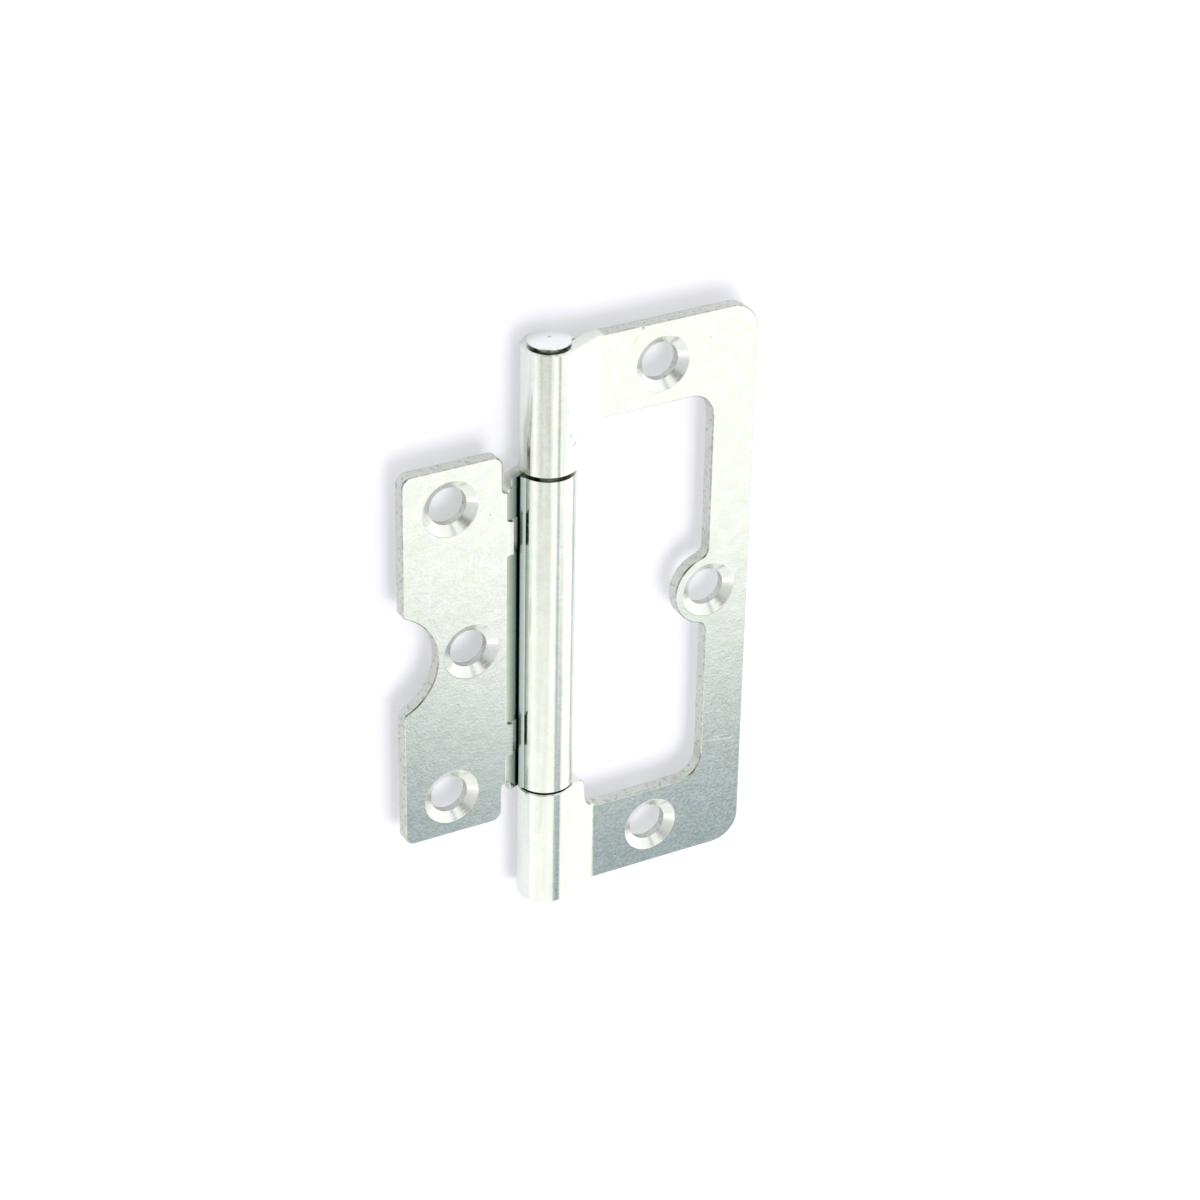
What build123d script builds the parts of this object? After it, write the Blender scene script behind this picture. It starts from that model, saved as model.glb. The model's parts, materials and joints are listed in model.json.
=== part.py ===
"""Flush door hinge: a large leaf with a window, a small leaf that folds into the window, and their pin."""
import os
from math import acos, asin, cos, degrees, radians, sin, sqrt, tan

from build123d import *

# Sheet, pin and barrel
length = 100.0
sheet = 2.4
pin_d = 4.2
pin_clearance = 0.05
seam_gap = 0.25
edge_chamfer = 0.2
knuckle_gap = 0.55

# Large leaf
outer_width = 36.6
outer_bend_x = 7.8
outer_bend_r = 3.5
outer_corner = 4.8
bar_width = 7.7
arm_width = 14.3
window_corner = 4.2
shoulder_step = 1.65
shoulder_depth = 6.75
shoulder_r = 1.6
sweep_step = 0.7
sweep_r = 3.2
outer_hole_x = 19.5
outer_hole_end = 7.25
tab_shift = 0.3
tab_r = 6.15
tab_root_r = 1.8

# Small leaf
fold_gap_x = 3.2
fold_gap_y = 2.5
inner_bend_x = 8.0
inner_bend_r = 0.6
inner_bend_outside_r = 0.5
roll_lip_turn = 10.0
roll_lip_out = 0.2
roll_lip_r = 0.2
inner_corner = 1.7
inner_hole_side = 8.3
inner_hole_end = 7.0
mid_hole_side = 5.8
notch_clearance = 3.35
notch_lip_r = 0.9
plate_step = 0.05
relief_width = 1.75
relief_depth = 1.8
tongue_end = 9.95
tongue_height = 5.8
tongue_length = 1.35
tongue_root_r = 0.9
lance_web = 0.1

# Screw holes, countersunk from the front
screw_hole_d = 6.4
countersink_d = 9.5
countersink_angle = 110.0

# Spun heads of the pin
head_d = 6.9
head_lift = 0.4
head_rim = 0.2
head_dome = 0.5
dimple_d = 0.7
dimple_depth = 0.2

# Barrel, rolled around the pin
bore_r = pin_d / 2 + pin_clearance
barrel_r = bore_r + sheet

# Window and tab of the large leaf, from its outline
window_x = outer_width - bar_width
window_height = length - 2 * arm_width
shoulder_x = barrel_r + shoulder_step
sweep_x = shoulder_x + sweep_step
tab_x = window_x + tab_shift
outer_hole_y = length / 2 - outer_hole_end
knuckle_end = window_height / 2 - shoulder_depth
mid_knuckle = 2 * (knuckle_end - knuckle_gap)

# Small leaf, from the window that it folds into
inner_width = window_x - fold_gap_x
inner_height = window_height - 2 * fold_gap_y
inner_hole_x = inner_width - inner_hole_side
inner_hole_y = inner_height / 2 - inner_hole_end
notch_r = tab_r + notch_clearance
inner_mid_hole_x = tab_x - notch_r - mid_hole_side
inner_crank = asin((bore_r + sheet / 2) / inner_bend_x)
bend_end_x = inner_bend_x + (sheet / 2 + inner_bend_r) * tan(inner_crank / 2)
plate_x = bend_end_x + plate_step
relief_x = plate_x - relief_width / 2
relief_y = mid_knuckle / 2 - relief_depth + relief_width / 2
tongue_y = mid_knuckle / 2 - tongue_end
tongue_root_x = inner_bend_x - (sheet / 2 - inner_bend_outside_r) * tan(inner_crank / 2)
roll_lip_x = barrel_r + roll_lip_out
roll_lip_y = bore_r - seam_gap
roll_end_x = roll_lip_x * cos(inner_crank) + bore_r * sin(inner_crank)
lance_length = tongue_root_x - roll_end_x - lance_web

# Where the barrel's axis runs: the hinge lies open on its barrel, centred over the origin
axis_x = -(outer_width - inner_width) / 2
axis = Vector(axis_x, 0, barrel_r)

outer_section = Plane(origin=axis, x_dir=(1, 0, 0), z_dir=(0, -1, 0))
inner_section = Plane(origin=axis, x_dir=(-1, 0, 0), z_dir=(0, -1, 0))
outer_plan = Plane(origin=axis, x_dir=(1, 0, 0), z_dir=(0, 0, 1))
inner_plan = Plane(origin=axis, x_dir=(-1, 0, 0), z_dir=(0, 0, -1))
outer_face = outer_plan.offset(sheet / 2)
inner_face = Plane(origin=axis + Vector(0, 0, sheet / 2), x_dir=(-1, 0, 0), z_dir=(0, 0, 1))


def rolled_strip(width, bend_x, inside_r, outside_r):
    """Section of a leaf: flat strip, crank and rolled barrel with a seam where the roll meets the crank."""
    tangent_angle = acos((bore_r + sheet / 2) / bend_x)
    crank_angle = radians(90) - tangent_angle
    bend_shift = sheet / 2 * tan(crank_angle / 2)
    with BuildSketch() as strip:
        with BuildLine():
            Polyline(
                (bore_r * cos(tangent_angle), bore_r * sin(tangent_angle)),
                (bend_x - bend_shift, -sheet / 2),
                (width, -sheet / 2),
                (width, sheet / 2),
                (bend_x + bend_shift, sheet / 2),
                (barrel_r * cos(tangent_angle), barrel_r * sin(tangent_angle)),
                close=True,
            )
        make_face()
        inside = strip.vertices().sort_by_distance((bend_x + bend_shift, sheet / 2))[0]
        fillet(inside, radius=inside_r)
        outside = strip.vertices().sort_by_distance((bend_x - bend_shift, -sheet / 2))[0]
        fillet(outside, radius=outside_r)
        Circle(barrel_r)
        Circle(bore_r, mode=Mode.SUBTRACT)
        with Locations(Location((0, 0), -degrees(crank_angle))):
            with Locations((barrel_r / 2, bore_r - seam_gap / 2)):
                Rectangle(barrel_r, seam_gap, mode=Mode.SUBTRACT)
    return strip.sketch


# Window of the large leaf, open to the middle knuckle, with the round tab left standing in it
with BuildSketch() as window:
    with BuildLine():
        Polyline(
            (-2 * barrel_r, -knuckle_end),
            (shoulder_x, -knuckle_end),
            (sweep_x, -window_height / 2),
            (window_x, -window_height / 2),
            (window_x, window_height / 2),
            (sweep_x, window_height / 2),
            (shoulder_x, knuckle_end),
            (-2 * barrel_r, knuckle_end),
            close=True,
        )
    make_face()
    columns = window.vertices().group_by(Axis.X)
    fillet(columns[3], radius=window_corner)
    columns = window.vertices().group_by(Axis.X)
    fillet(columns[2], radius=sweep_r)
    columns = window.vertices().group_by(Axis.X)
    fillet(columns[1], radius=shoulder_r)
    with Locations((tab_x, 0)):
        Circle(tab_r, mode=Mode.SUBTRACT)
    tab_roots = window.vertices().sort_by_distance((tab_x, 0))[:2]
    fillet(tab_roots, radius=tab_root_r)

# Large leaf with the two end knuckles
with BuildPart() as outer_leaf:
    with BuildSketch(outer_section):
        add(rolled_strip(outer_width, outer_bend_x, outer_bend_r, outer_bend_r + sheet))
    extrude(amount=length / 2, both=True)
    with BuildSketch(outer_plan) as outer_blank:
        with Locations(((outer_width - 2 * barrel_r) / 2, 0)):
            Rectangle(outer_width + 2 * barrel_r, length)
        fillet(outer_blank.vertices().group_by(Axis.X)[-1], radius=outer_corner)
        add(window.sketch, mode=Mode.SUBTRACT)
    extrude(amount=2 * barrel_r, both=True, mode=Mode.INTERSECT)
    with Locations(outer_face):
        with Locations((outer_hole_x, outer_hole_y), (outer_hole_x, -outer_hole_y), (tab_x, 0)):
            CounterSinkHole(
                radius=screw_hole_d / 2,
                counter_sink_radius=countersink_d / 2,
                depth=2 * sheet,
                counter_sink_angle=countersink_angle,
            )
    flats = outer_leaf.faces().filter_by(Axis.Z).sort_by(SortBy.AREA)[-2:]
    rim = ShapeList(flats[0].outer_wire().edges() + flats[1].outer_wire().edges())
    past_bend = axis_x + outer_bend_x + sheet / 2
    chamfer(rim.filter_by_position(Axis.X, past_bend, past_bend + outer_width), length=edge_chamfer)

# Outline of the small leaf, with the notch that clears the tab and the relief cuts beside the knuckle
with BuildSketch() as inner_blank:
    with Locations(((plate_x + inner_width) / 2, 0)):
        Rectangle(inner_width - plate_x, inner_height)
    fillet(inner_blank.vertices(), radius=inner_corner)
    with Locations((tab_x, 0)):
        Circle(notch_r, mode=Mode.SUBTRACT)
    notch_lips = inner_blank.vertices().sort_by_distance((tab_x, 0))[:2]
    fillet(notch_lips, radius=notch_lip_r)
    with Locations(((plate_x + sheet - 2 * barrel_r) / 2, 0)):
        Rectangle(plate_x + sheet + 2 * barrel_r, mid_knuckle)
    with Locations((relief_x, relief_y), (relief_x, -relief_y)):
        Circle(relief_width / 2, mode=Mode.SUBTRACT)
    with Locations((relief_x, relief_y + relief_depth / 2), (relief_x, -relief_y - relief_depth / 2)):
        Rectangle(relief_width, relief_depth, mode=Mode.SUBTRACT)

def lanced_strip(reach):
    """Plan of a strip that stands from the bend of the small leaf, with rounded roots."""
    with BuildSketch() as strip:
        with Locations((tongue_root_x + lance_web / 2, 0)):
            Rectangle(lance_web, tongue_height + 4 * tongue_root_r)
        with Locations((tongue_root_x - reach / 2, 0)):
            Rectangle(reach, tongue_height)
        roots = strip.vertices().sort_by_distance((tongue_root_x, 0))[:2]
        fillet(roots, radius=tongue_root_r)
    return strip.sketch


# Opening lanced in the crank, and the tongue left flat in the plane of the small leaf
lance = lanced_strip(lance_length)
tongue = lanced_strip(tongue_length)

# Section of the small leaf, whose roll ends in a straight lip that stands on the crank
with BuildSketch() as inner_strip:
    add(rolled_strip(inner_width, inner_bend_x, inner_bend_r, inner_bend_outside_r))
    with Locations(Location((0, 0), -degrees(inner_crank))):
        Polygon(
            (bore_r, 0),
            (barrel_r * cos(radians(roll_lip_turn)), barrel_r * sin(radians(roll_lip_turn))),
            (roll_lip_x, roll_lip_y),
            (bore_r, roll_lip_y),
            align=None,
        )
    roll_lip = Vector(roll_lip_x, roll_lip_y).rotate(Axis.Z, -degrees(inner_crank))
    fillet(inner_strip.vertices().sort_by_distance(roll_lip)[0], radius=roll_lip_r)

# Small leaf with the middle knuckle
with BuildPart() as inner_leaf:
    with BuildSketch(inner_section):
        add(inner_strip.sketch)
    extrude(amount=inner_height / 2, both=True)
    with BuildSketch(inner_plan):
        add(inner_blank.sketch)
    extrude(amount=2 * barrel_r, both=True, mode=Mode.INTERSECT)
    with BuildSketch(inner_plan):
        with Locations((0, tongue_y), (0, -tongue_y)):
            add(lance)
    extrude(amount=barrel_r, both=True, mode=Mode.SUBTRACT)
    with BuildSketch(inner_plan):
        with Locations((0, tongue_y), (0, -tongue_y)):
            add(tongue)
    extrude(amount=sheet / 2, both=True)
    with Locations(inner_face):
        with Locations(
            (inner_hole_x, inner_hole_y),
            (inner_hole_x, -inner_hole_y),
            (inner_mid_hole_x, 0),
        ):
            CounterSinkHole(
                radius=screw_hole_d / 2,
                counter_sink_radius=countersink_d / 2,
                depth=2 * sheet,
                counter_sink_angle=countersink_angle,
            )
    flats = inner_leaf.faces().filter_by(Axis.Z).sort_by(SortBy.AREA)[-2:]
    rim = ShapeList(flats[0].outer_wire().edges() + flats[1].outer_wire().edges())
    past_relief = axis_x - plate_x - inner_corner / 4
    chamfer(rim.filter_by_position(Axis.X, past_relief - inner_width, past_relief), length=edge_chamfer)

# Pin with a spun, slightly domed head at each end
head_foot = length / 2 + head_lift
head_top = head_foot + head_rim
crown = head_top + head_dome
dome_r = (head_d**2 / 4 + head_dome**2) / (2 * head_dome)
dimple_rim = crown - dome_r + sqrt(dome_r**2 - dimple_d**2 / 4)
pin_plane = Plane(origin=axis, x_dir=(1, 0, 0), z_dir=(0, 0, 1))

with BuildPart() as hinge_pin:
    with BuildSketch(pin_plane):
        with BuildLine():
            Polyline(
                (0, 0),
                (pin_d / 2, 0),
                (pin_d / 2, head_foot),
                (head_d / 2, head_foot),
                (head_d / 2, head_top),
            )
            RadiusArc((head_d / 2, head_top), (dimple_d / 2, dimple_rim), -dome_r)
            Polyline((dimple_d / 2, dimple_rim), (0, dimple_rim - dimple_depth), (0, 0))
        make_face()
        mirror(about=Plane.XZ)
    revolve(axis=Axis(axis, (0, 1, 0)))

os.makedirs("parts", exist_ok=True)
outer_leaf.part.label = "outer_leaf"
inner_leaf.part.label = "inner_leaf"
hinge_pin.part.label = "hinge_pin"
export_step(outer_leaf.part, "parts/outer_leaf.step")
export_step(inner_leaf.part, "parts/inner_leaf.step")
export_step(hinge_pin.part, "parts/hinge_pin.step")
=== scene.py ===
"""Flush hinge of bright zinc plate: the finish of its leaves and pin, and its light tent."""
import json
import math

import bpy
from bpy.props import FloatProperty, FloatVectorProperty, PointerProperty
from mathutils import Matrix, Vector

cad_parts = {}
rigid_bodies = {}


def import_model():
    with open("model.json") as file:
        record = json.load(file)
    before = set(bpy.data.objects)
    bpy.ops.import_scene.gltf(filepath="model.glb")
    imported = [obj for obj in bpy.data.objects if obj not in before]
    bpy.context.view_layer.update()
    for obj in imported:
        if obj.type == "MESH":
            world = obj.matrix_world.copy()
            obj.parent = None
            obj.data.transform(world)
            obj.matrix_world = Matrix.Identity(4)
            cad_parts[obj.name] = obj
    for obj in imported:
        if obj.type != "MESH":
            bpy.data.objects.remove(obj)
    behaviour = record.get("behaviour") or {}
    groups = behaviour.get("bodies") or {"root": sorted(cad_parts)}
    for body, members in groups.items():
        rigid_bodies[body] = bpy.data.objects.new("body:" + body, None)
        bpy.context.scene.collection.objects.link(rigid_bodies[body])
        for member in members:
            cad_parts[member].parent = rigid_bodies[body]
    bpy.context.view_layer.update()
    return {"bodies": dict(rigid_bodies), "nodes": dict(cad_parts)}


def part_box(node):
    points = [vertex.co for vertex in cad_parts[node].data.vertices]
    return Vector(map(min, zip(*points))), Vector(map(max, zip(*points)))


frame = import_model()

bl_info = {
    "name": "Flush hinge finish",
    "version": (1, 0, 0),
    "blender": (4, 5, 0),
    "location": "3D View > Sidebar > Hinge",
    "description": "Gives a pressed flush hinge its zinc plate, wear and studio",
    "category": "Material",
}

PIN_LOW, PIN_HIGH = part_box("hinge_pin")
AXIS_X = (PIN_LOW.x + PIN_HIGH.x) / 2
AXIS_Z = (PIN_LOW.z + PIN_HIGH.z) / 2
BARREL_R = AXIS_Z
MM_PER_M = 1000
WHITE = (1.0, 1.0, 1.0, 1.0)

# Results of a soft step at its two ends
RISE = (0.0, 1.0)
FALL = (1.0, 0.0)


class HingeFinish(bpy.types.PropertyGroup):
    """Colours and surface sizes of the plating."""

    plate_colour: FloatVectorProperty(
        name="Plate colour", description="Reflected colour of the zinc plate", subtype="COLOR",
        size=4, min=0.0, max=1.0, default=(0.81, 0.835, 0.785, 1.0))
    edge_colour: FloatVectorProperty(
        name="Cut edge colour", description="Reflected colour of the sheared edges",
        subtype="COLOR", size=4, min=0.0, max=1.0, default=(0.64, 0.66, 0.61, 1.0))
    cone_colour: FloatVectorProperty(
        name="Countersink colour", description="Reflected colour of the turned countersinks",
        subtype="COLOR", size=4, min=0.0, max=1.0, default=(0.95, 0.965, 0.94, 1.0))
    pin_colour: FloatVectorProperty(
        name="Pin colour", description="Reflected colour of the spun pin heads", subtype="COLOR",
        size=4, min=0.0, max=1.0, default=(0.84, 0.86, 0.83, 1.0))
    yellow_tint: FloatVectorProperty(
        name="Yellow tint", description="Tint of the plating's yellowish clouds", subtype="COLOR",
        size=4, min=0.0, max=1.0, default=(1.0, 0.995, 0.94, 1.0))
    green_tint: FloatVectorProperty(
        name="Green tint", description="Tint of the plating's greenish clouds", subtype="COLOR",
        size=4, min=0.0, max=1.0, default=(0.965, 1.0, 0.975, 1.0))
    streak_tint: FloatVectorProperty(
        name="Streak tint", description="Tint of the fine lines drawn along the barrel",
        subtype="COLOR", size=4, min=0.0, max=1.0, default=(0.92, 0.94, 0.93, 1.0))
    bare_colour: FloatVectorProperty(
        name="Bare edge colour",
        description="Colour of the spots where a sheared edge is thinly plated",
        subtype="COLOR", size=4, min=0.0, max=1.0, default=(0.36, 0.375, 0.345, 1.0))
    # Painted shade: the dark line in the roll's seam
    seam_line_shade_colour: FloatVectorProperty(
        name="Seam line shade colour", description="Colour of the painted shade line in the roll's seam",
        subtype="COLOR", size=4, min=0.0, max=1.0, default=(0.16, 0.19, 0.2, 1.0))
    # Painted shade on the crank and lip on both sides of the seam
    seam_side_shade_colour: FloatVectorProperty(
        name="Seam side shade colour", description="Colour of the painted shade on both sides of the seam",
        subtype="COLOR", size=4, min=0.0, max=1.0, default=(0.26, 0.33, 0.31, 1.0))
    stain_colour: FloatVectorProperty(
        name="Stain colour", description="Colour of the faint yellow stain", subtype="COLOR",
        size=4, min=0.0, max=1.0, default=(0.70, 0.665, 0.43, 1.0))
    mark_colour: FloatVectorProperty(
        name="Mark colour", description="Colour of nicks and specks", subtype="COLOR",
        size=4, min=0.0, max=1.0, default=(0.30, 0.31, 0.31, 1.0))
    plate_roughness: FloatProperty(
        name="Plate roughness", description="Roughness of the flat leaf faces", subtype="FACTOR",
        min=0.0, max=1.0, default=0.12)
    barrel_roughness: FloatProperty(
        name="Barrel roughness", description="Roughness of the rolled knuckles", subtype="FACTOR",
        min=0.0, max=1.0, default=0.14)
    edge_roughness: FloatProperty(
        name="Cut edge roughness", description="Roughness of the sheared edges", subtype="FACTOR",
        min=0.0, max=1.0, default=0.36)
    scratch_roughness: FloatProperty(
        name="Scratch roughness", description="Roughness in the light scratches", subtype="FACTOR",
        min=0.0, max=1.0, default=0.6)
    cone_roughness: FloatProperty(
        name="Countersink roughness", description="Roughness of the turned countersinks",
        subtype="FACTOR", min=0.0, max=1.0, default=0.2)
    grain_size: FloatProperty(
        name="Grain size", description="Size of the plating's mottled grain", unit="LENGTH",
        min=0.00005, max=0.01, default=0.0004)


class HingeStage(bpy.types.PropertyGroup):
    """Floor, light tent and camera."""

    floor_colour: FloatVectorProperty(
        name="Floor colour", description="Colour of the table top", subtype="COLOR",
        size=4, min=0.0, max=1.0, default=(0.86, 0.855, 0.95, 1.0))
    floor_size: FloatProperty(
        name="Floor size", description="Side of the table top", unit="LENGTH",
        min=0.5, max=20.0, default=6.0)
    floor_glow: FloatProperty(
        name="Floor glow", description="Share of plain white in the floor where it is seen",
        subtype="FACTOR", min=0.0, max=1.0, default=0.42)
    tent_light: FloatProperty(
        name="Tent light", description="Strength of the tent's light",
        min=0.0, max=10.0, default=1.33)
    tent_colour: FloatVectorProperty(
        name="Tent colour", description="Light of the white tent", subtype="COLOR",
        size=4, min=0.0, max=1.0, default=(1.0, 1.0, 1.0, 1.0))
    gap_colour: FloatVectorProperty(
        name="Gap colour", description="Light that comes through the gap between two tent panels",
        subtype="COLOR", size=4, min=0.0, max=1.0, default=(0.228, 0.284, 0.335, 1.0))
    port_colour: FloatVectorProperty(
        name="Port colour", description="Light of the dark opening that the camera looks through",
        subtype="COLOR", size=4, min=0.0, max=1.0, default=(0.16, 0.155, 0.14, 1.0))
    slit_depth: FloatProperty(
        name="Slit depth", description="How dark the slit beside the gap is", subtype="FACTOR",
        min=0.0, max=1.0, default=0.72)
    key_power: FloatProperty(
        name="Key light", description="Power of the soft lamp", unit="POWER",
        min=0.0, max=100.0, default=4.5)
    lens: FloatProperty(
        name="Lens", description="Focal length of the camera, in millimetres",
        min=10.0, max=400.0, default=104.588)


def put(tree, kind, inputs=None, **settings):
    """Adds a node, sets it up, and wires or sets its inputs."""
    made = tree.nodes.new(kind)
    for name, value in settings.items():
        setattr(made, name, value)
    for key, value in (inputs or {}).items():
        if isinstance(value, bpy.types.NodeSocket):
            tree.links.new(value, made.inputs[key])
        else:
            made.inputs[key].default_value = value
    return made


def maths(tree, operation, first, second=0.0, third=0.0):
    """Adds a maths node and returns its result."""
    made = put(tree, "ShaderNodeMath", {0: first, 1: second, 2: third}, operation=operation)
    return made.outputs[0]


def distance(tree, *parts):
    """Returns the length of a vector from its parts."""
    squares = [maths(tree, "MULTIPLY", part, part) for part in parts]
    total = squares.pop()
    while squares:
        total = maths(tree, "ADD", squares.pop(), total)
    return maths(tree, "SQRT", total)


def strongest(tree, masks):
    """Joins masks and returns the strongest of them at each point."""
    total = masks[0]
    for mask in masks[1:]:
        total = maths(tree, "MAXIMUM", total, mask)
    return total


def ramp(tree, value, span, results=RISE):
    """Adds a soft step over a span of values and returns its result."""
    inputs = {"Value": value, "From Min": span[0], "From Max": span[1],
              "To Min": results[0], "To Max": results[1]}
    made = put(tree, "ShaderNodeMapRange", inputs, interpolation_type="SMOOTHSTEP")
    return made.outputs["Result"]


# The mix node holds sockets for every type of data, which share their names and differ in place
def mix_colour(tree, factor, first, second, blend="MIX"):
    """Mixes two colours and returns the result."""
    made = put(tree, "ShaderNodeMix", {0: factor, 6: first, 7: second},
               data_type="RGBA", blend_type=blend)
    return made.outputs[2]


def mix_value(tree, factor, first, second):
    """Mixes two values and returns the result."""
    made = put(tree, "ShaderNodeMix", {0: factor, 2: first, 3: second}, data_type="FLOAT")
    return made.outputs[0]


def noise(tree, position, scale, detail, roughness=0.6):
    """Adds a noise in space and returns its outputs."""
    return put(tree, "ShaderNodeTexNoise", {"Vector": position, "Scale": scale, "Detail": detail,
                                            "Roughness": roughness}).outputs


def rings(tree, reach, scale):
    """Adds the fine rings that turning leaves round an axis and returns their height."""
    return put(tree, "ShaderNodeTexNoise", {"W": reach, "Scale": scale, "Detail": 2.0},
               noise_dimensions="1D").outputs[0]


def relief(tree, height, size, under=None, sunk=False):
    """Adds relief of a strength and height, over the relief under it, and returns the normal."""
    strength, depth = size
    inputs = {"Strength": strength, "Distance": depth, "Height": height}
    if under is not None:
        inputs["Normal"] = under
    return put(tree, "ShaderNodeBump", inputs, invert=sunk).outputs[0]


def open_group(name, inputs, outputs):
    """Starts a shader node group with named sockets."""
    tree = bpy.data.node_groups.new(name, "ShaderNodeTree")
    for label, kind, default in inputs:
        socket = tree.interface.new_socket(label, in_out="INPUT", socket_type=kind)
        if default is not None:
            socket.default_value = default
    for label in outputs:
        tree.interface.new_socket(label, in_out="OUTPUT", socket_type="NodeSocketFloat")
    given, out = tree.nodes.new("NodeGroupInput"), tree.nodes.new("NodeGroupOutput")
    return tree, given.outputs, out.inputs


def place_group(tree, name, inputs):
    """Places a node group, which is built on first use, and returns its outputs."""
    shared = bpy.data.node_groups.get(name) or GROUPS[name](name)
    return put(tree, "ShaderNodeGroup", inputs, node_tree=shared).outputs


def from_axis(tree, position):
    """Returns how far a point lies across and above the pin's axis, and its distance from it."""
    place = put(tree, "ShaderNodeSeparateXYZ", {0: position}).outputs
    across = maths(tree, "SUBTRACT", place["X"], AXIS_X)
    above = maths(tree, "SUBTRACT", place["Z"], AXIS_Z)
    return across, above, distance(tree, across, above)


# Sheet zones: the spans in metres over which each mask fades, from the pin's axis for the barrel
# and the start of a leaf, and from the middle of the sheet for its edges
BARREL_END = (BARREL_R + 0.0001, BARREL_R + 0.0006)
LEAF_START = (0.0086, 0.0091)
CUT_EDGE_END = (0.00095, 0.00106)
ARRIS_START = (0.00094, 0.00102)
ARRIS_END = (0.00114, 0.00119)


def build_sheet_zones(name):
    """Masks for the rolled barrel, the sheared edges of the sheet and their worn arris."""
    tree, given, out = open_group(
        name, [("Position", "NodeSocketVector", None), ("Countersink", "NodeSocketFloat", 0.0)],
        ["Barrel", "Cut edge", "Arris"])
    across, above, reach = from_axis(tree, given["Position"])
    tree.links.new(ramp(tree, reach, BARREL_END, FALL), out["Barrel"])
    level = maths(tree, "ABSOLUTE", above)
    flat = ramp(tree, maths(tree, "ABSOLUTE", across), LEAF_START)
    sheet = maths(tree, "MULTIPLY", flat, maths(tree, "SUBTRACT", 1.0, given["Countersink"]))
    inside = ramp(tree, level, CUT_EDGE_END, FALL)
    tree.links.new(maths(tree, "MULTIPLY", inside, sheet), out["Cut edge"])
    arris = maths(tree, "MULTIPLY", ramp(tree, level, ARRIS_START),
                  ramp(tree, level, ARRIS_END, FALL))
    tree.links.new(maths(tree, "MULTIPLY", arris, sheet), out["Arris"])
    return tree


# Seam of the small leaf's roll, in metres: its place, and how far along the barrel the tongues'
# middles and sides lie
SEAM_PLACE = (AXIS_X - 0.00515, 0.0, AXIS_Z + 0.00017)
TONGUE_Y = 0.0179
TONGUE_SIDE = (0.0026, 0.0032)

# Painted shade line in the seam, in metres: its core, and its reach at a tongue, where the lip
# mirrors the dark window, and elsewhere
SEAM_CORE = 0.00005
SEAM_REACH = (0.0009, 0.00025)

# Painted shade beside the seam, where the crank and lip mirror the dark valley: the span in metres
# over which it fades, and its strength there
SEAM_SIDE_SHADE_SPAN, SEAM_SIDE_SHADE_FALL = (0.0002, 0.0026), (0.9, 0.0)

# Share of each axis that counts in a distance across the barrel
ACROSS_BARREL = (1.0, 0.0, 1.0)


def build_seam(name):
    """Painted shade where the small leaf's roll stands on its crank: a seam line and side shade."""
    tree, given, out = open_group(
        name, [("Position", "NodeSocketVector", None)], ["Seam", "Seam side shade"])
    flat = put(tree, "ShaderNodeVectorMath", {0: given["Position"], 1: ACROSS_BARREL},
               operation="MULTIPLY").outputs[0]
    reach = put(tree, "ShaderNodeVectorMath", {0: flat, 1: SEAM_PLACE},
                operation="DISTANCE").outputs["Value"]
    along = put(tree, "ShaderNodeSeparateXYZ", {0: given["Position"]}).outputs["Y"]
    beside = maths(tree, "SUBTRACT", maths(tree, "ABSOLUTE", along), TONGUE_Y)
    spread = ramp(tree, maths(tree, "ABSOLUTE", beside), TONGUE_SIDE, SEAM_REACH)
    tree.links.new(ramp(tree, reach, (SEAM_CORE, spread), FALL), out["Seam"])
    tree.links.new(ramp(tree, reach, SEAM_SIDE_SHADE_SPAN, SEAM_SIDE_SHADE_FALL), out["Seam side shade"])
    return tree


# Countersink, in metres: its rim from the hole's middle, and its lower end above the sheet's
# middle; the scale of its rings
RIM_END = (0.00476, 0.0049)
CONE_START = (0.00011, 0.00016)
CONE_RING_SCALE = 6000.0


def build_countersink(name):
    """Mask and turning lines of one countersunk screw hole."""
    tree, given, out = open_group(
        name, [("Position", "NodeSocketVector", None), ("Place", "NodeSocketVector", None)],
        ["Cone", "Turning"])
    offset = put(tree, "ShaderNodeVectorMath", {0: given["Position"], 1: given["Place"]},
                 operation="SUBTRACT").outputs[0]
    part = put(tree, "ShaderNodeSeparateXYZ", {0: offset}).outputs
    reach = distance(tree, part["X"], part["Y"])
    cone = maths(tree, "MULTIPLY", ramp(tree, reach, RIM_END, FALL),
                 ramp(tree, part["Z"], CONE_START))
    tree.links.new(cone, out["Cone"])
    lines = rings(tree, reach, CONE_RING_SCALE)
    tree.links.new(maths(tree, "MULTIPLY", lines, cone), out["Turning"])
    return tree


# Plating mottle: scales of the clouds and the tints as shares of the grain's, where a tint shows
CLOUD_SHARE = 0.16
TINT_SHARE = 0.2
YELLOW_START = (0.38, 0.66)
GREEN_START = (0.42, 0.68)


def build_plating_mottle(name):
    """Mottled grain of the plating, with broad clouds and two tints over it."""
    tree, given, out = open_group(
        name, [("Position", "NodeSocketVector", None), ("Grain size", "NodeSocketFloat", 0.0004)],
        ["Grain", "Cloud", "Yellow", "Green"])
    position = given["Position"]
    scale = maths(tree, "DIVIDE", 1.0, given["Grain size"])
    fine = noise(tree, position, scale, detail=3.0)
    broad = noise(tree, position, maths(tree, "MULTIPLY", scale, CLOUD_SHARE), detail=4.0)
    tint = noise(tree, position, maths(tree, "MULTIPLY", scale, TINT_SHARE), detail=3.0)
    shades = put(tree, "ShaderNodeSeparateColor", {0: tint["Color"]}).outputs
    tree.links.new(fine[0], out["Grain"])
    tree.links.new(broad[0], out["Cloud"])
    tree.links.new(ramp(tree, shades["Red"], YELLOW_START), out["Yellow"])
    tree.links.new(ramp(tree, shades["Green"], GREEN_START), out["Green"])
    return tree


# Draw lines: how the noise is drawn out along the barrel, and its scale
DRAWN_OUT = (1.0, 0.05, 1.0)
DRAWN_SCALE = 1300.0


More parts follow.
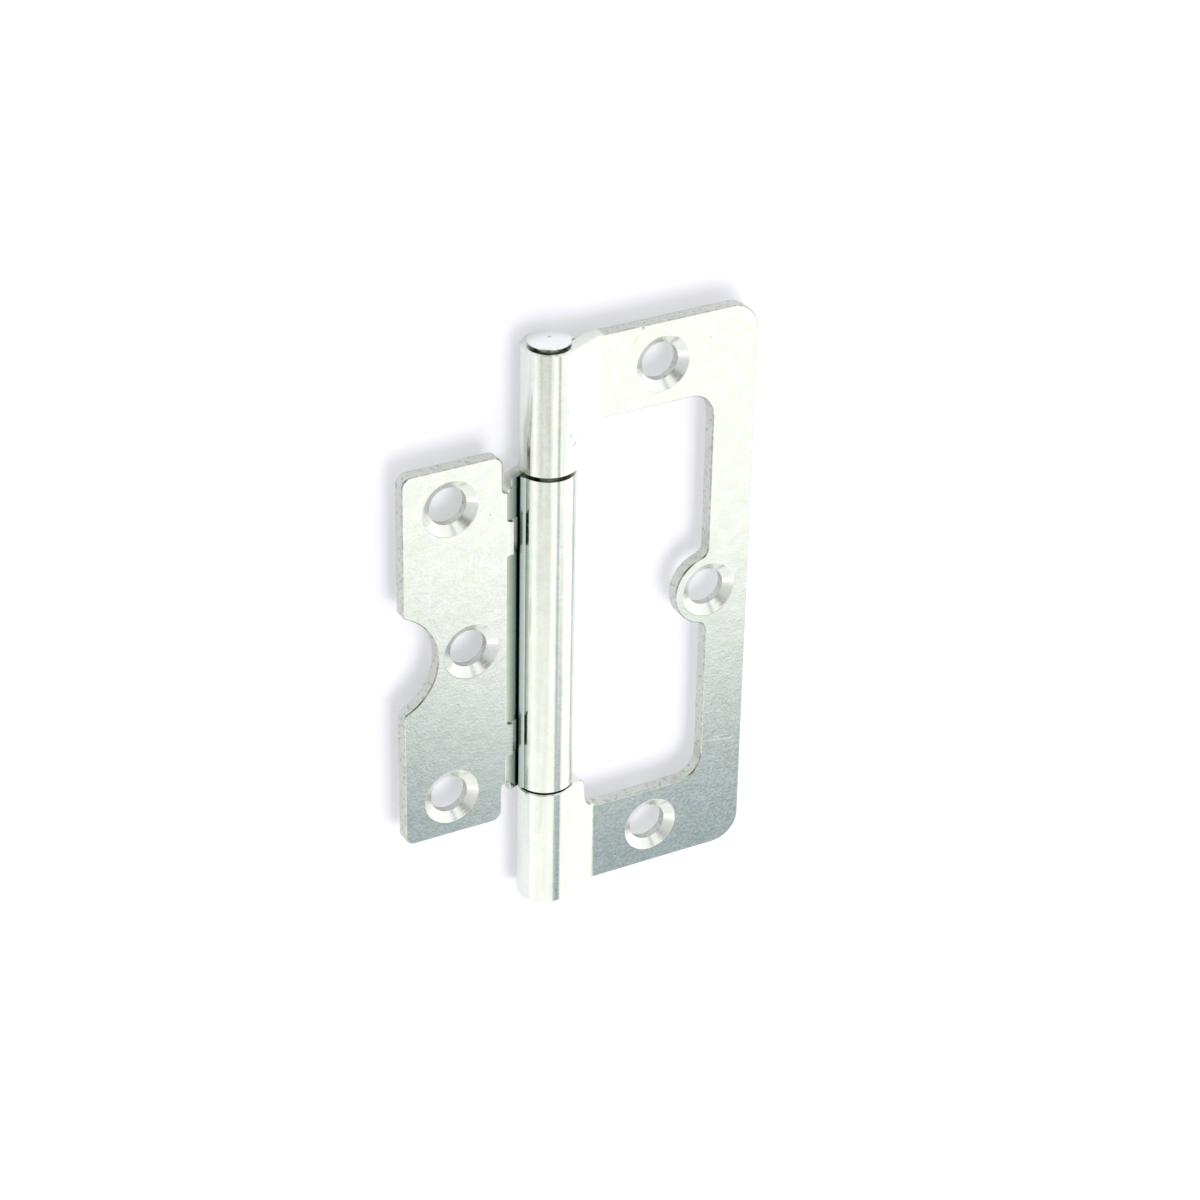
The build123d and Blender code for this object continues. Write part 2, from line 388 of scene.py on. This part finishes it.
def build_draw_lines(name):
    """Fine lines drawn along the barrel by rolling."""
    tree, given, out = open_group(name, [("Position", "NodeSocketVector", None)], ["Lines"])
    stretched = put(tree, "ShaderNodeMapping", {"Vector": given["Position"], "Scale": DRAWN_OUT})
    lines = noise(tree, stretched.outputs[0], DRAWN_SCALE, detail=3.0)
    tree.links.new(lines[0], out["Lines"])
    return tree


# How deep a mark reaches into the sheet, in metres
MARK_DEPTH = 0.0006


def build_mark(name):
    """One nick, scratch or spot: an ellipse with a soft edge, turned about Z."""
    tree, given, out = open_group(
        name, [("Position", "NodeSocketVector", None), ("Place", "NodeSocketVector", None),
               ("Length", "NodeSocketFloat", 0.001), ("Width", "NodeSocketFloat", 0.0002),
               ("Turn", "NodeSocketFloat", 0.0), ("Softness", "NodeSocketFloat", 0.5)], ["Mark"])
    offset = put(tree, "ShaderNodeVectorMath", {0: given["Position"], 1: given["Place"]},
                 operation="SUBTRACT").outputs[0]
    turned = put(tree, "ShaderNodeVectorRotate", {"Vector": offset, "Angle": given["Turn"]},
                 rotation_type="Z_AXIS").outputs[0]
    part = put(tree, "ShaderNodeSeparateXYZ", {0: turned}).outputs
    along = maths(tree, "DIVIDE", part["X"], given["Length"])
    across = maths(tree, "DIVIDE", part["Y"], given["Width"])
    depth = maths(tree, "DIVIDE", part["Z"], MARK_DEPTH)
    inner = maths(tree, "SUBTRACT", 1.0, given["Softness"])
    reach = distance(tree, along, across, depth)
    tree.links.new(ramp(tree, reach, (inner, 1.0), FALL), out["Mark"])
    return tree


GROUPS = {
    "Sheet zones": build_sheet_zones,
    "Seam": build_seam,
    "Countersink": build_countersink,
    "Plating mottle": build_plating_mottle,
    "Draw lines": build_draw_lines,
    "Mark": build_mark,
}


def add_marks(tree, position, marks):
    """Places every mark of a list and returns their common mask."""
    masks = []
    for x, y, z, length, width, turn, softness, weight in marks:
        spot = place_group(tree, "Mark", {
            "Position": position, "Place": (x / MM_PER_M, y / MM_PER_M, z / MM_PER_M),
            "Length": length / MM_PER_M, "Width": width / MM_PER_M,
            "Turn": math.radians(turn), "Softness": softness})
        masks.append(maths(tree, "MULTIPLY", spot["Mark"], weight))
    return strongest(tree, masks)


def open_nodes(block):
    """Turns on a material's or a world's nodes and returns them, empty."""
    block.use_nodes = True
    block.node_tree.nodes.clear()
    return block.node_tree


def open_material(name):
    """Starts a metal with its shader and the object's own coordinates."""
    material = bpy.data.materials.new(name)
    tree = open_nodes(material)
    shader = put(tree, "ShaderNodeBsdfPrincipled", {"Metallic": 1.0})
    put(tree, "ShaderNodeOutputMaterial", {"Surface": shader.outputs[0]})
    position = tree.nodes.new("ShaderNodeTexCoord").outputs["Object"]
    return material, tree, shader.inputs, position


# Plate: the spans of noise over which each effect sets in, and what it results in there
STREAK_START = (0.45, 0.7)
CLOUD_SPAN, CLOUD_SHADE = (0.35, 0.65), (0.95, 1.0)
SPECK_SPAN, SPECK_SHADE = (0.35, 0.68), (0.965, 1.0)
WEAR_SCALE, WEAR_DETAIL, WEAR_ROUGHNESS = 1500.0, 4.0, 0.65
EDGE_WEAR_START = (0.52, 0.68)
ARRIS_WEAR_SPAN, ARRIS_WEAR = (0.38, 0.62), (0.4, 0.85)
GRAIN_SPAN, GRAIN_ROUGHNESS = (0.3, 0.7), (-0.03, 0.05)

# Relief of the plate, from the lowest layer: strength, and height in metres
GRAIN_RELIEF = (0.32, 0.00002)
CLOUD_RELIEF = (0.12, 0.00006)
DRAWN_RELIEF = (0.3, 0.00002)
TURNED_RELIEF = (0.5, 0.00002)
DENT_RELIEF = (0.6, 0.00004)


def plate_material(name, finish, holes, marks, stains, scratches, seamed):
    """Bright zinc plate on pressed sheet, with its cut edges, drawn barrel, marks and stains."""
    material, tree, surface, position = open_material(name)
    cones = [place_group(tree, "Countersink", {
        "Position": position, "Place": (x / MM_PER_M, y / MM_PER_M, AXIS_Z)}) for x, y in holes]
    cone = strongest(tree, [hole["Cone"] for hole in cones])
    turning = strongest(tree, [hole["Turning"] for hole in cones])
    zones = place_group(tree, "Sheet zones", {"Position": position, "Countersink": cone})
    mottle = place_group(tree, "Plating mottle", {"Position": position,
                                                  "Grain size": finish.grain_size})
    drawn = place_group(tree, "Draw lines", {"Position": position})["Lines"]
    marked = add_marks(tree, position, marks)
    stained = add_marks(tree, position, stains)
    scratched = add_marks(tree, position, scratches)

    base = mix_colour(tree, zones["Cut edge"], tuple(finish.plate_colour),
                      tuple(finish.edge_colour))
    base = mix_colour(tree, cone, base, tuple(finish.cone_colour))
    streak = maths(tree, "MULTIPLY", zones["Barrel"], ramp(tree, drawn, STREAK_START))
    for mask, tint in ((mottle["Yellow"], finish.yellow_tint), (mottle["Green"], finish.green_tint),
                       (streak, finish.streak_tint)):
        base = mix_colour(tree, mask, base, tuple(tint), "MULTIPLY")
    for height, span, shade in ((mottle["Cloud"], CLOUD_SPAN, CLOUD_SHADE),
                                (mottle["Grain"], SPECK_SPAN, SPECK_SHADE)):
        base = mix_colour(tree, 1.0, base, ramp(tree, height, span, shade), "MULTIPLY")
    worn = noise(tree, position, WEAR_SCALE, WEAR_DETAIL, WEAR_ROUGHNESS)[0]
    bare = strongest(tree, [
        maths(tree, "MULTIPLY", zones["Cut edge"], ramp(tree, worn, EDGE_WEAR_START)),
        maths(tree, "MULTIPLY", zones["Arris"], ramp(tree, worn, ARRIS_WEAR_SPAN, ARRIS_WEAR))])
    base = mix_colour(tree, bare, base, tuple(finish.bare_colour))
    # Painted shade at the seam: a dark line in the crease, reaching further by the tongues, and
    # broader shade on the crank and lip beside it
    if seamed:
        seam = place_group(tree, "Seam", {"Position": position})
        base = mix_colour(tree, seam["Seam side shade"], base, tuple(finish.seam_side_shade_colour))
        base = mix_colour(tree, seam["Seam"], base, tuple(finish.seam_line_shade_colour))
    base = mix_colour(tree, stained, base, tuple(finish.stain_colour))
    base = mix_colour(tree, marked, base, tuple(finish.mark_colour))
    tree.links.new(base, surface["Base Color"])

    rough = mix_value(tree, zones["Barrel"], finish.plate_roughness, finish.barrel_roughness)
    rough = mix_value(tree, zones["Cut edge"], rough, finish.edge_roughness)
    rough = mix_value(tree, cone, rough, finish.cone_roughness)
    rough = maths(tree, "ADD", rough, ramp(tree, mottle["Grain"], GRAIN_SPAN, GRAIN_ROUGHNESS))
    rough = mix_value(tree, scratched, rough, finish.scratch_roughness)
    tree.links.new(rough, surface["Roughness"])

    normal = relief(tree, mottle["Grain"], GRAIN_RELIEF)
    normal = relief(tree, mottle["Cloud"], CLOUD_RELIEF, normal)
    normal = relief(tree, maths(tree, "MULTIPLY", drawn, zones["Barrel"]), DRAWN_RELIEF, normal)
    normal = relief(tree, turning, TURNED_RELIEF, normal)
    normal = relief(tree, marked, DENT_RELIEF, normal, sunk=True)
    tree.links.new(normal, surface["Normal"])
    return material


# Pin: the scale of its rings, the dimple in its head in metres and how dark that is, its roughness
# over the grain, and its relief as for the plate
PIN_RING_SCALE = 5200.0
DIMPLE_END = (0.0002, 0.00036)
DIMPLE_SHADE = 0.7
PIN_ROUGHNESS = (0.15, 0.2)
PIN_RING_RELIEF = (0.12, 0.00002)
PIN_GRAIN_RELIEF = (0.08, 0.00002)


def pin_material(name, finish):
    """Spun pin head: satin plate with turning lines round its axis."""
    material, tree, surface, position = open_material(name)
    *_, reach = from_axis(tree, position)
    mottle = place_group(tree, "Plating mottle", {"Position": position,
                                                  "Grain size": finish.grain_size})
    dimple = maths(tree, "MULTIPLY", ramp(tree, reach, DIMPLE_END, FALL), DIMPLE_SHADE)
    base = mix_colour(tree, dimple, tuple(finish.pin_colour), tuple(finish.mark_colour))
    tree.links.new(base, surface["Base Color"])
    tree.links.new(ramp(tree, mottle["Grain"], GRAIN_SPAN, PIN_ROUGHNESS), surface["Roughness"])
    normal = relief(tree, rings(tree, reach, PIN_RING_SCALE), PIN_RING_RELIEF)
    normal = relief(tree, mottle["Grain"], PIN_GRAIN_RELIEF, normal)
    tree.links.new(normal, surface["Normal"])
    return material


def dress(node, material):
    """Gives a solid of the hinge its material."""
    slots = frame["nodes"][node].material_slots
    if not slots:
        raise RuntimeError(f"{node} has no material slot")
    for slot in slots:
        slot.material = material


# Middles of the screw holes, in mm
LARGE_HOLES = ((14.05, 42.75), (14.05, -42.75), (23.75, 0.0))
SMALL_HOLES = ((-22.85, 26.2), (-22.85, -26.2), (-19.35, 0.0))

# Level of the leaves' upper faces, in mm
TOP = 5.75

# Marks: place x, y and z, half length and half width in mm, turn in degrees, softness, weight
LARGE_MARKS = (
    (7.46, -46.86, TOP, 0.35, 0.16, 40.0, 0.6, 0.5),
    (13.9, -36.85, TOP, 0.4, 0.14, -20.0, 0.6, 0.45),
    (22.5, 45.46, TOP, 0.14, 0.12, 0.0, 0.5, 0.8),
    (-3.68, 35.66, 8.75, 0.55, 0.16, -55.0, 0.7, 0.8),
    (-2.79, 33.9, 8.32, 0.7, 0.17, -48.0, 0.7, 0.8),
    (-2.2, 35.2, 8.04, 0.4, 0.13, 35.0, 0.7, 0.6),
    (-4.4, 40.1, 8.95, 0.3, 0.14, 70.0, 0.7, 0.5),
    (10.3, 49.6, TOP, 0.3, 0.2, 15.0, 0.7, 0.6),
)
LARGE_STAINS = (
    (9.0, 47.9, TOP, 1.7, 0.5, -55.0, 0.9, 0.7),
    (10.2, 49.3, TOP, 0.9, 0.4, 10.0, 0.9, 0.7),
)
LARGE_SCRATCHES = (
    (26.6, -29.6, TOP, 4.2, 0.16, 8.0, 0.7, 1.0),
    (27.0, -29.0, TOP, 2.6, 0.12, 3.0, 0.7, 0.8),
    (27.3, -12.4, TOP, 0.7, 0.14, 50.0, 0.7, 0.9),
    (10.6, -36.6, TOP, 0.7, 0.14, 30.0, 0.7, 0.6),
    (18.4, -39.0, TOP, 0.8, 0.1, -35.0, 0.7, 0.4),
)
SMALL_MARKS = (
    (-21.74, -9.22, TOP, 0.5, 0.12, 35.0, 0.6, 0.5),
    (-16.11, 23.52, TOP, 0.14, 0.12, 0.0, 0.5, 0.8),
)
SMALL_STAINS = ((-25.0, 30.0, TOP, 1.2, 0.6, 10.0, 0.9, 0.25),)
SMALL_SCRATCHES = (
    (-20.3, -17.6, TOP, 1.6, 0.12, -40.0, 0.7, 0.9),
    (-17.5, -20.3, TOP, 1.1, 0.12, 20.0, 0.7, 0.8),
    (-15.4, -12.6, TOP, 0.8, 0.12, 60.0, 0.7, 0.8),
)


class HINGE_OT_large_leaf(bpy.types.Operator):
    """Plates the large leaf with its two end knuckles"""

    bl_idname = "hinge.large_leaf"
    bl_label = "Plate the large leaf"

    def execute(self, context):
        dress("outer_leaf", plate_material(
            "large_leaf_plate", context.scene.hinge_finish, LARGE_HOLES, LARGE_MARKS, LARGE_STAINS,
            LARGE_SCRATCHES, seamed=False))
        return {"FINISHED"}


class HINGE_OT_small_leaf(bpy.types.Operator):
    """Plates the small leaf with the middle knuckle and lanced tongues"""

    bl_idname = "hinge.small_leaf"
    bl_label = "Plate the small leaf"

    def execute(self, context):
        dress("inner_leaf", plate_material(
            "small_leaf_plate", context.scene.hinge_finish, SMALL_HOLES, SMALL_MARKS, SMALL_STAINS,
            SMALL_SCRATCHES, seamed=True))
        return {"FINISHED"}


class HINGE_OT_pin(bpy.types.Operator):
    """Finishes the pin and its spun heads"""

    bl_idname = "hinge.pin"
    bl_label = "Finish the pin"

    def execute(self, context):
        dress("hinge_pin", pin_material("pin_steel_spun", context.scene.hinge_finish))
        return {"FINISHED"}


def floor_material(stage):
    """White table top that keeps a faint shadow."""
    material = bpy.data.materials.new("table_white")
    tree = open_nodes(material)
    path = tree.nodes.new("ShaderNodeLightPath").outputs
    seen = maths(tree, "MAXIMUM", path["Is Camera Ray"],
                 maths(tree, "MAXIMUM", path["Is Glossy Ray"], path["Is Transmission Ray"]))
    matt = put(tree, "ShaderNodeBsdfDiffuse", {"Color": tuple(stage.floor_colour)})
    white = put(tree, "ShaderNodeEmission", {"Color": WHITE, "Strength": 1.0})
    share = maths(tree, "MULTIPLY", seen, stage.floor_glow)
    both = put(tree, "ShaderNodeMixShader", {0: share, 1: matt.outputs[0], 2: white.outputs[0]})
    put(tree, "ShaderNodeOutputMaterial", {"Surface": both.outputs[0]})
    return material


# Camera: its axes, the last of them the way to it from the hinge, its place in metres, its sensor
# in mm, and where its view starts in metres
CAMERA_RIGHT = (0.87556, 0.01720, 0.48279)
CAMERA_UP = (0.22780, 0.86659, -0.44399)
CAMERA_WAY = (-0.42602, 0.49873, 0.75484)
CAMERA_PLACE = (-0.23282, 0.28004, 0.42469)
SENSOR_WIDTH = 36.0
NEAREST = 0.01

# Lamp: the way to it from the hinge, how far off it hangs and its side in metres
LAMP_WAY = (0.06, -0.24, 0.97)
LAMP_REACH = 0.9
LAMP_SIZE = 0.5

# Light of the tent round the barrel: swing from straight up toward +X in degrees, brightness
TENT_FOLDS = (
    (-180.0, 0.95), (-124.0, 0.72), (-108.0, 0.66), (-92.0, 0.86), (-80.0, 1.0), (-70.0, 0.80),
    (-58.0, 0.57), (-41.0, 0.66), (-21.0, 0.57), (-10.0, 0.88), (-3.0, 1.0), (50.0, 1.0),
    (66.0, 1.12), (100.0, 1.12), (180.0, 1.0),
)

# Light of the tent toward its ends: how far it lies toward +Y, and brightness
TENT_ENDS = ((-1.0, 0.72), (-0.68, 0.74), (-0.6, 1.0), (-0.4, 1.0), (-0.28, 0.84), (1.0, 0.78))

# Light in the gap between the two front panels: how far it lies toward +Y, and brightness from 0,
# the gap's own, to 1, the tent's
GAP_LIGHT = (
    (-0.575, 0.0), (-0.556, 0.06), (-0.543, 0.14), (-0.531, 0.22), (-0.523, 0.38), (-0.513, 0.74),
    (-0.503, 0.97), (-0.49, 1.0),
)

# Sides of the gap and of the slit beside it, by swing in degrees
GAP_START, GAP_END = (17.0, 25.0), (36.0, 48.0)
SLIT_START, SLIT_END = (9.0, 15.0), (19.0, 24.0)

# How the gap's edge slants: spans of swing in degrees, and how far it moves there along Y
SLANTS = (((25.5, 27.3), (-0.004, 0.02)), ((27.3, 31.5), (0.0, -0.028)))

# Where the folds begin along Y, and the rim of the camera's port by the cosine of its angle
FOLDS_START = (-0.58, -0.42)
PORT_START = (0.95, 0.985)


def follow(tree, value, stops):
    """Adds a ramp through a list of stops and returns its brightness."""
    low, high = stops[0][0], stops[-1][0]
    place = put(tree, "ShaderNodeMapRange", {"Value": value, "From Min": low, "From Max": high})
    made = put(tree, "ShaderNodeValToRGB", {"Fac": place.outputs["Result"]})
    made.color_ramp.interpolation = "EASE"
    elements = made.color_ramp.elements
    while len(elements) < len(stops):
        elements.new(0.5)
    for element, (at, light) in zip(elements, stops):
        element.position = (at - low) / (high - low)
        element.color = (light, light, light, 1.0)
    return made.outputs["Color"]


def light_tent(stage):
    """White tent with folds, a gap that the lower half of the leaves mirrors, and a port."""
    world = bpy.data.worlds.new("light_tent")
    tree = open_nodes(world)
    tent, gap = tuple(stage.tent_colour), tuple(stage.gap_colour)
    generated = tree.nodes.new("ShaderNodeTexCoord").outputs["Generated"]
    way = put(tree, "ShaderNodeSeparateXYZ", {0: generated}).outputs
    swing = maths(tree, "DEGREES", maths(tree, "ARCTAN2", way["X"], way["Z"]))

    moves = [ramp(tree, swing, span, move) for span, move in SLANTS]
    slant = maths(tree, "ADD", way["Y"], maths(tree, "ADD", *moves))
    front = mix_colour(tree, follow(tree, slant, GAP_LIGHT), gap, tent)
    panel = maths(tree, "MULTIPLY", ramp(tree, swing, GAP_START), ramp(tree, swing, GAP_END, FALL))
    colour = mix_colour(tree, panel, tent, front)

    folds = mix_colour(tree, 1.0, colour, follow(tree, swing, TENT_FOLDS), "MULTIPLY")
    colour = mix_colour(tree, ramp(tree, way["Y"], FOLDS_START), colour, folds)

    slit = maths(tree, "MULTIPLY", ramp(tree, swing, SLIT_START),
                 ramp(tree, swing, SLIT_END, (stage.slit_depth, 0.0)))
    colour = mix_colour(tree, slit, colour, gap)

    colour = mix_colour(tree, 1.0, colour, follow(tree, way["Y"], TENT_ENDS), "MULTIPLY")

    toward = put(tree, "ShaderNodeVectorMath", {0: generated, 1: CAMERA_WAY},
                 operation="DOT_PRODUCT").outputs["Value"]
    colour = mix_colour(tree, ramp(tree, toward, PORT_START), colour, tuple(stage.port_colour))
    glow = put(tree, "ShaderNodeBackground", {"Color": colour, "Strength": stage.tent_light})
    put(tree, "ShaderNodeOutputWorld", {"Surface": glow.outputs[0]})
    return world


class HINGE_OT_stage(bpy.types.Operator):
    """Sets the table, the light tent, the lamp and the camera"""

    bl_idname = "hinge.stage"
    bl_label = "Set the stage"

    def execute(self, context):
        stage = context.scene.hinge_stage
        own = set(frame["nodes"].values()) | set(frame["bodies"].values())
        for spare in [thing for thing in context.scene.objects if thing not in own]:
            bpy.data.objects.remove(spare, do_unlink=True)

        bpy.ops.mesh.primitive_plane_add(size=stage.floor_size, location=(0.0, 0.0, 0.0))
        floor = context.object
        floor.name = "table_top"
        floor.data.materials.append(floor_material(stage))

        context.scene.world = light_tent(stage)

        lamp = bpy.data.lights.new("soft_lamp", "AREA")
        lamp.energy = stage.key_power
        lamp.size = LAMP_SIZE
        holder = bpy.data.objects.new("soft_lamp", lamp)
        holder.visible_glossy = False
        aim = Vector(LAMP_WAY).normalized()
        facing = aim.to_track_quat("Z", "Y").to_matrix().to_4x4()
        holder.matrix_world = Matrix.Translation(aim * LAMP_REACH) @ facing
        context.scene.collection.objects.link(holder)

        lens = bpy.data.cameras.new("camera")
        lens.sensor_width = SENSOR_WIDTH
        lens.sensor_fit = "HORIZONTAL"
        lens.lens = stage.lens
        lens.clip_start = NEAREST
        camera = bpy.data.objects.new("camera", lens)
        axes = [Vector(axis) for axis in (CAMERA_RIGHT, CAMERA_UP, CAMERA_WAY)]
        turn = Matrix(axes).transposed().to_4x4()
        camera.matrix_world = Matrix.Translation(CAMERA_PLACE) @ turn
        context.scene.collection.objects.link(camera)
        context.scene.camera = camera
        context.scene.view_settings.view_transform = "Standard"
        return {"FINISHED"}


class HINGE_PT_panel(bpy.types.Panel):
    """Lists the pieces of the hinge and their settings"""

    bl_idname = "HINGE_PT_panel"
    bl_label = "Flush hinge"
    bl_space_type = "VIEW_3D"
    bl_region_type = "UI"
    bl_category = "Hinge"

    def draw(self, context):
        layout = self.layout
        for settings in (context.scene.hinge_finish, context.scene.hinge_stage):
            box = layout.box()
            for name in settings.__annotations__:
                box.prop(settings, name)
        for operator in STEPS:
            layout.operator(operator.bl_idname)


STEPS = (HINGE_OT_large_leaf, HINGE_OT_small_leaf, HINGE_OT_pin, HINGE_OT_stage)
CLASSES = (HingeFinish, HingeStage, *STEPS, HINGE_PT_panel)


def register():
    for kind in CLASSES:
        bpy.utils.register_class(kind)
    bpy.types.Scene.hinge_finish = PointerProperty(type=HingeFinish)
    bpy.types.Scene.hinge_stage = PointerProperty(type=HingeStage)


def unregister():
    del bpy.types.Scene.hinge_stage
    del bpy.types.Scene.hinge_finish
    for kind in reversed(CLASSES):
        bpy.utils.unregister_class(kind)


def main():
    """Registers the add-on, dresses the hinge and sets the stage."""
    register()
    bpy.ops.hinge.large_leaf()
    bpy.ops.hinge.small_leaf()
    bpy.ops.hinge.pin()
    bpy.ops.hinge.stage()


if __name__ == "__main__":
    main()
